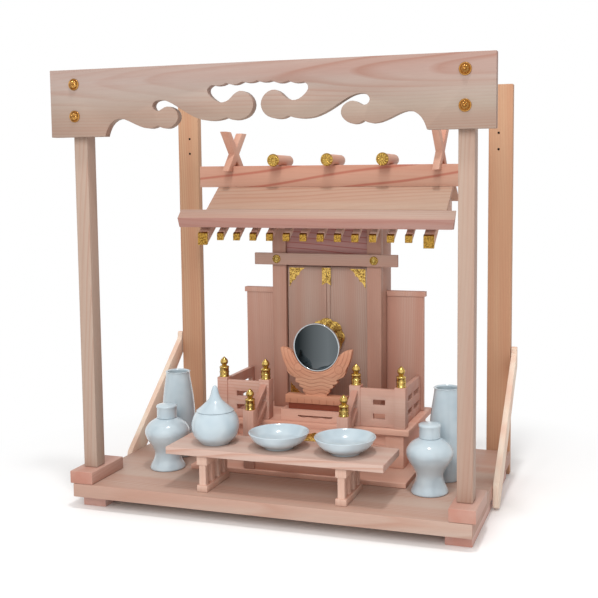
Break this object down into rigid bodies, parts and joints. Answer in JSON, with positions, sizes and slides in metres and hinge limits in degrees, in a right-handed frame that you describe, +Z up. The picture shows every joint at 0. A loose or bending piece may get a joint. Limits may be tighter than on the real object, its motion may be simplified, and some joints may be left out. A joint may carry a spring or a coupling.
{
  "type": "household altar shelf",
  "caption": "Wooden kamidana shelf with cloud-cut front board, small gabled shrine with opening doors, railed veranda, round mirror and white altar ware.",
  "frame": {"origin": "under the middle of the whole piece, on the surface that it stands on", "axes": "+X to the right as seen from the front, +Y to the back, +Z up"},
  "size_m": [0.5706, 0.3176, 0.568],
  "materials": {
    "pale_wood": "planed, unfinished",
    "pink_wood": "planed, unfinished",
    "porcelain": "white glaze",
    "mirror_glass": "polished"
  },
  "bodies": {
    "cabinet": {"shelf_board": "pale_wood", "valance_board": "pale_wood", "post_left": "pale_wood", "post_right": "pale_wood", "upright_left": "pale_wood", "upright_right": "pale_wood", "ground_plate": "pale_wood", "plinth_box": "pale_wood", "veranda_floor": "pale_wood", "stair": "pale_wood", "stair_rail_left": "pale_wood", "stair_rail_right": "pale_wood", "railing_left": "pale_wood", "railing_right": "pale_wood", "screen_left": "pale_wood", "screen_right": "pale_wood", "front_frame": "pale_wood", "lintel_beam": "pale_wood", "transom_board": "pale_wood", "body_shell": "pale_wood", "roof_front": "pale_wood", "roof_rear": "pale_wood", "eave_board": "pale_wood", "chigi_left": "pale_wood", "chigi_right": "pale_wood", "roof_log_left": "pale_wood", "roof_log_middle": "pale_wood", "roof_log_right": "pale_wood", "mirror_step": "pale_wood", "table_top": "pale_wood", "foot_left": "pink_wood", "foot_right": "pink_wood", "post_block_left": "pink_wood", "post_block_right": "pink_wood", "brace_left": "pink_wood", "brace_right": "pink_wood", "rafter_frame": "pink_wood", "ridge_beam": "pink_wood", "mirror_stand": "pink_wood", "table_legs_left": "pink_wood", "table_legs_right": "pink_wood", "dish_left": "porcelain", "dish_right": "porcelain", "water_vessel": "porcelain", "water_lid": "porcelain", "bottle_left": "porcelain", "bottle_right": "porcelain", "bottle_lid_left": "porcelain", "bottle_lid_right": "porcelain", "vase_left": "porcelain", "vase_right": "porcelain", "mirror": "mirror_glass"},
    "left_leaf": {"door_left": "pale_wood"},
    "right_leaf": {"door_right": "pale_wood"}
  },
  "joints": [
    {"name": "door_left_hinge", "type": "hinge", "parent": "cabinet", "child": "left_leaf", "pos_m": [-0.0504, 0.0806, 0.209], "axis": [0, 0, -1], "range_deg": [0, 90]},
    {"name": "door_right_hinge", "type": "hinge", "parent": "cabinet", "child": "right_leaf", "pos_m": [0.0654, 0.0806, 0.209], "axis": [0, 0, 1], "range_deg": [0, 90]}
  ]
}
